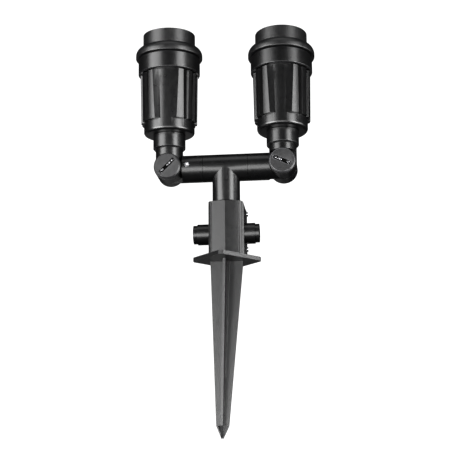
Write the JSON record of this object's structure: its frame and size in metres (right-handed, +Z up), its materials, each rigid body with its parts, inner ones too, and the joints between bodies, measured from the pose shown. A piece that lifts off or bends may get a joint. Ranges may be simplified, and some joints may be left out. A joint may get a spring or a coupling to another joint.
{
  "type": "light projector stake",
  "caption": "Twin-head garden projector light on a cross-finned ground spike, with tilting ribbed lamp heads on a tee and side power connectors.",
  "frame": {"origin": "centre of the ground flange's underside", "axes": "+Z up along the tee's post, +X along the tee towards the outlet connector and the right lamp head, -Y towards the front"},
  "size_m": [0.1856, 0.0785, 0.418],
  "materials": {
    "satin_black": "satin moulded",
    "grained_black": "fine-grained matt moulded",
    "housing_black": "fine matt moulded",
    "inner_black": "matt",
    "seal_rubber": "matt",
    "bright_steel": "bright zinc plate",
    "clear_glass": "polished",
    "slide_mask": "opaque film",
    "board_white": "solder mask",
    "board_green": "solder mask",
    "led_phosphor": "silicone dome",
    "heat_sink_alloy": "extruded",
    "contact_brass": "bright",
    "terminal_ivory": "satin"
  },
  "bodies": {
    "stake": {"ground_spike": "grained_black", "housing_front": "housing_black", "housing_rear": "housing_black", "cover_screws": "bright_steel", "inlet_connector": "satin_black", "outlet_connector": "satin_black", "connector_contacts": "contact_brass", "connector_seals": "seal_rubber", "terminal_block": "terminal_ivory", "tee": "satin_black", "post_seal": "seal_rubber", "left_arm_seal": "seal_rubber", "right_arm_seal": "seal_rubber"},
    "left_arm": {"left_arm": "satin_black", "left_set_screw": "bright_steel", "left_elbow_seal": "seal_rubber", "left_clamp_nut": "bright_steel"},
    "left_head": {"left_knuckle": "satin_black", "left_neck_nut": "satin_black", "left_body_shell": "satin_black", "left_collar": "satin_black", "left_light_tunnel": "inner_black", "left_condenser_lens": "clear_glass", "left_pattern_slide": "slide_mask", "left_led_board": "board_white", "left_led": "led_phosphor", "left_heat_sink": "heat_sink_alloy", "left_driver_board": "board_green"},
    "left_knob": {"left_clamp_knob": "grained_black", "left_clamp_bolt": "bright_steel"},
    "left_focus": {"left_focus_ring": "grained_black", "left_front_glass": "clear_glass", "left_glass_gasket": "seal_rubber"},
    "left_lens": {"left_lens_barrel": "inner_black", "left_projection_lens": "clear_glass"},
    "right_arm": {"right_arm": "satin_black", "right_set_screw": "bright_steel", "right_elbow_seal": "seal_rubber"},
    "right_head": {"right_knuckle": "satin_black", "right_neck_nut": "satin_black", "right_body_shell": "satin_black", "right_collar": "satin_black", "right_light_tunnel": "inner_black", "right_condenser_lens": "clear_glass", "right_pattern_slide": "slide_mask", "right_led_board": "board_white", "right_led": "led_phosphor", "right_heat_sink": "heat_sink_alloy", "right_driver_board": "board_green", "right_clamp_nut": "bright_steel"},
    "right_knob": {"right_clamp_knob": "grained_black", "right_clamp_bolt": "bright_steel"},
    "right_focus": {"right_focus_ring": "grained_black", "right_front_glass": "clear_glass", "right_glass_gasket": "seal_rubber"},
    "right_lens": {"right_lens_barrel": "inner_black", "right_projection_lens": "clear_glass"}
  },
  "joints": [
    {"name": "left_roll", "type": "hinge", "parent": "stake", "child": "left_arm", "pos_m": [-0.0226, 0, 0.09765], "axis": [1, 0, 0], "range_deg": [-90, 90]},
    {"name": "left_tilt", "type": "hinge", "parent": "left_arm", "child": "left_head", "pos_m": [-0.0582, 0, 0.09765], "axis": [0, -0.9994, -0.0349], "range_deg": [0, 120]},
    {"name": "left_clamp", "type": "hinge", "parent": "left_arm", "child": "left_knob", "pos_m": [-0.0582, 0, 0.09765], "axis": [0, -0.9994, -0.0349], "range_deg": [0, 180]},
    {"name": "left_focus_turn", "type": "hinge", "parent": "left_head", "child": "left_focus", "pos_m": [-0.0582, 0, 0.09765], "axis": [0, -0.0349, 0.9994], "range_deg": [0, 90]},
    {"name": "left_focus_travel", "type": "slide", "parent": "left_focus", "child": "left_lens", "axis": [0, -0.0349, 0.9994], "range_m": [0, 0.004]},
    {"name": "right_roll", "type": "hinge", "parent": "stake", "child": "right_arm", "pos_m": [0.0226, 0, 0.09765], "axis": [1, 0, 0], "range_deg": [-90, 90]},
    {"name": "right_tilt", "type": "hinge", "parent": "right_arm", "child": "right_head", "pos_m": [0.0582, 0, 0.09765], "axis": [0, 0.9991, -0.0419], "range_deg": [0, 120]},
    {"name": "right_clamp", "type": "hinge", "parent": "right_head", "child": "right_knob", "pos_m": [0.0582, 0, 0.09765], "axis": [0, -0.9991, 0.0419], "range_deg": [0, 180]},
    {"name": "right_focus_turn", "type": "hinge", "parent": "right_head", "child": "right_focus", "pos_m": [0.0582, 0, 0.09765], "axis": [0, 0.0419, 0.9991], "range_deg": [0, 90]},
    {"name": "right_focus_travel", "type": "slide", "parent": "right_focus", "child": "right_lens", "axis": [0, 0.0419, 0.9991], "range_m": [0, 0.004]}
  ],
  "couplings": [
    {"joint": "left_focus_travel", "follows": "left_focus_turn", "m_per_rad": 0.0025},
    {"joint": "right_focus_travel", "follows": "right_focus_turn", "m_per_rad": 0.0025}
  ]
}
